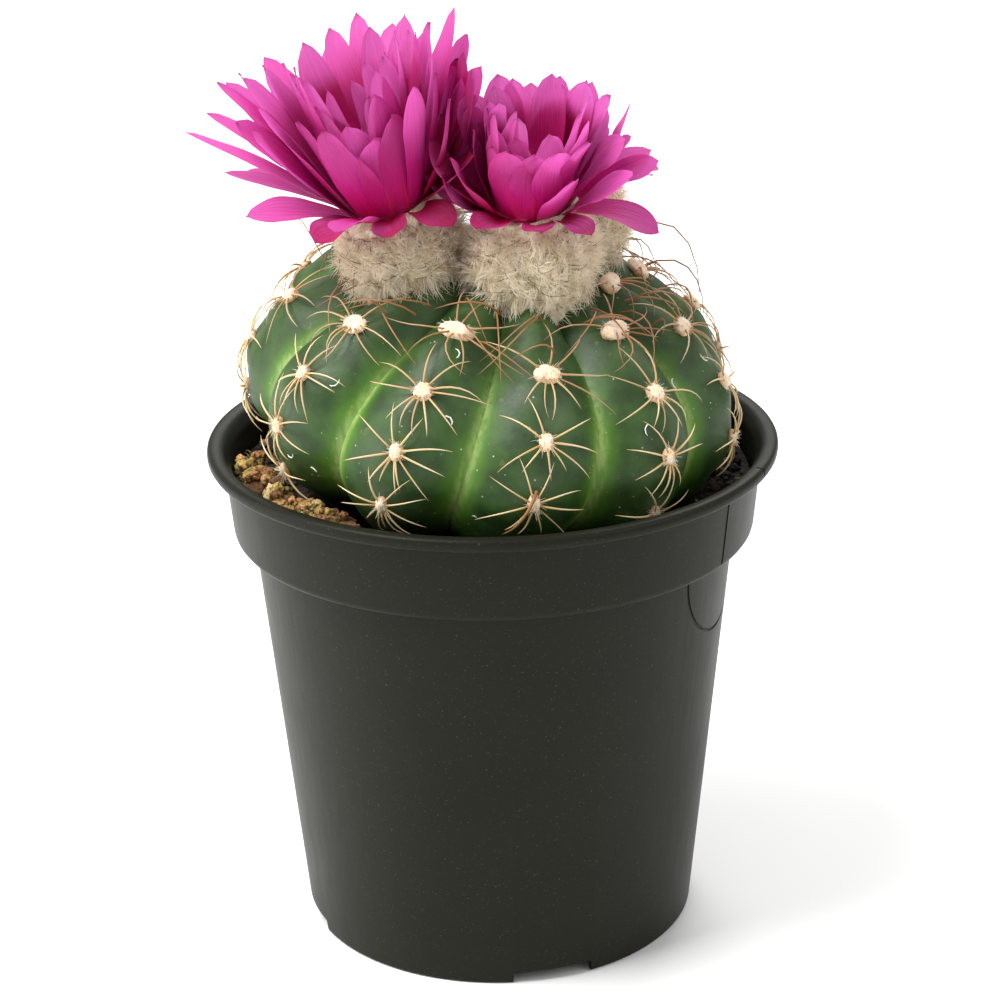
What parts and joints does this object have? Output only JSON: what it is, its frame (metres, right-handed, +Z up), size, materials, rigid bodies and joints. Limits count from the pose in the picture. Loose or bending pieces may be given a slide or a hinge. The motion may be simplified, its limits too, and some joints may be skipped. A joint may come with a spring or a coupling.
{
  "type": "potted round cactus",
  "caption": "Ribbed globe cactus with spines and open flowers on woolly tubes, rooted in soil in a round tapered plastic nursery pot.",
  "frame": {"origin": "on the pot's axis, in the plane that its foot ring stands on", "axes": "+Z up along the pot's axis; -Y is the front, the side that the picture shows; +X is to the right of it"},
  "size_m": [0.105, 0.105, 0.1747],
  "materials": {
    "pot": "satin, very dark olive grey",
    "soil": "damp dark potting soil",
    "crumbs": "rough orange-brown bark and grit",
    "body": "waxy dark green skin",
    "wool": "matted cream wool",
    "petals": "thin satin petals, bright pink",
    "stamens": "yellow anthers",
    "stigma": "dark red, matte"
  },
  "bodies": {
    "root": {"pot": "pot", "soil": "soil", "crumb_heap": "crumbs", "cactus_body": "body", "flower_left_tube": "wool", "flower_left_petals": "petals", "flower_left_stamens": "stamens", "flower_left_stigma": "stigma", "flower_right_tube": "wool", "flower_right_petals": "petals", "flower_right_stamens": "stamens", "flower_right_stigma": "stigma", "flower_back_tube": "wool", "flower_back_petals": "petals", "flower_back_stamens": "stamens", "flower_back_stigma": "stigma"}
  },
  "joints": []
}
